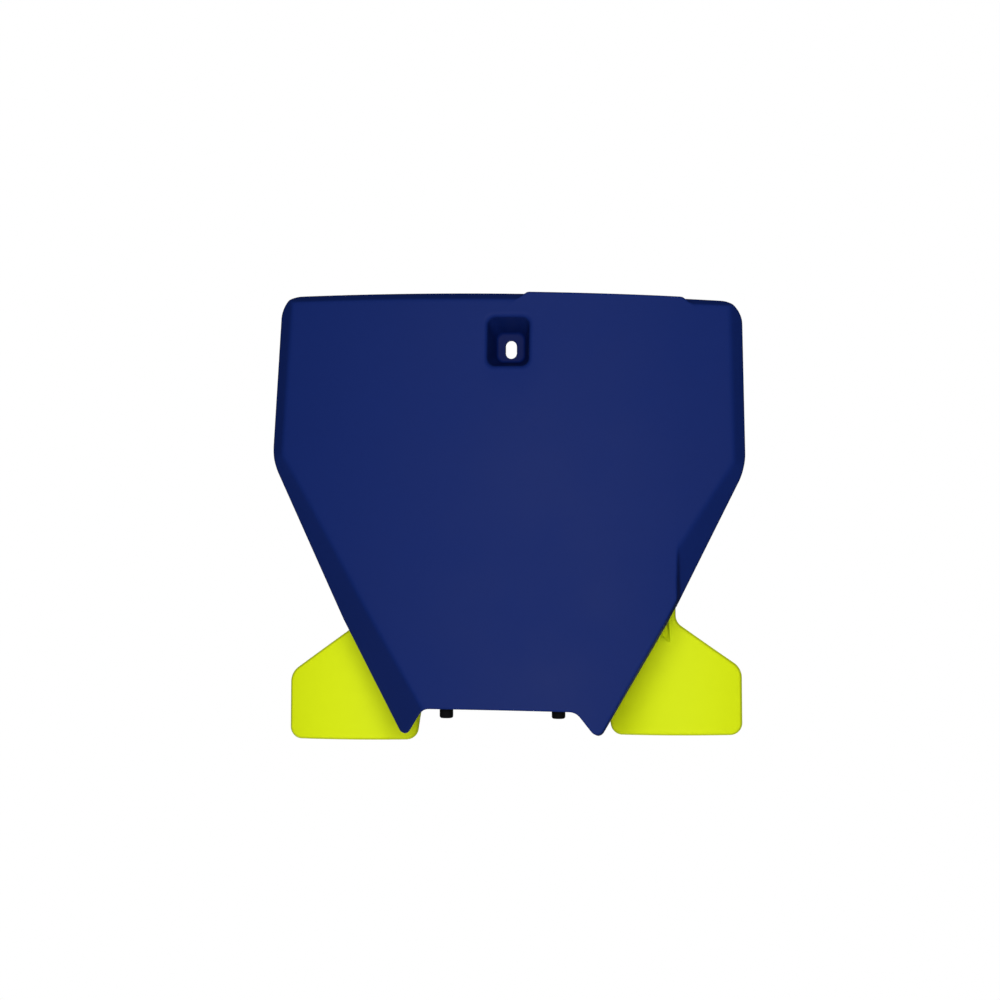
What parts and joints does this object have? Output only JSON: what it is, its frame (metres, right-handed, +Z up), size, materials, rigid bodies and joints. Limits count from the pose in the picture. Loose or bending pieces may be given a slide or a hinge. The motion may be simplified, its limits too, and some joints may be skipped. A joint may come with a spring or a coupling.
{
  "type": "racing number board",
  "caption": "Dished motorcycle front number board with a recessed screw slot, rubber-sleeved locating pegs and a contrasting rear bracket whose curved wings stand before the fork legs.",
  "frame": {"origin": "middle of the screw slot, on the flat back of the well's floor", "axes": "+X to the board's left side as the rider sees it, which is the right of the picture; +Y into the depth, away from the viewer and towards the motorcycle, square to the seat; +Z up"},
  "size_m": [0.2766, 0.0901, 0.2639],
  "materials": {
    "face_plastic": "satin moulded",
    "bracket_plastic": "satin moulded",
    "sleeve_rubber": "matt",
    "screw_steel": "zinc plated"
  },
  "bodies": {
    "root": {"front_plate": "face_plastic", "rear_bracket": "bracket_plastic", "left_peg_sleeve": "sleeve_rubber", "right_peg_sleeve": "sleeve_rubber", "bracket_screws": "screw_steel"}
  },
  "joints": []
}
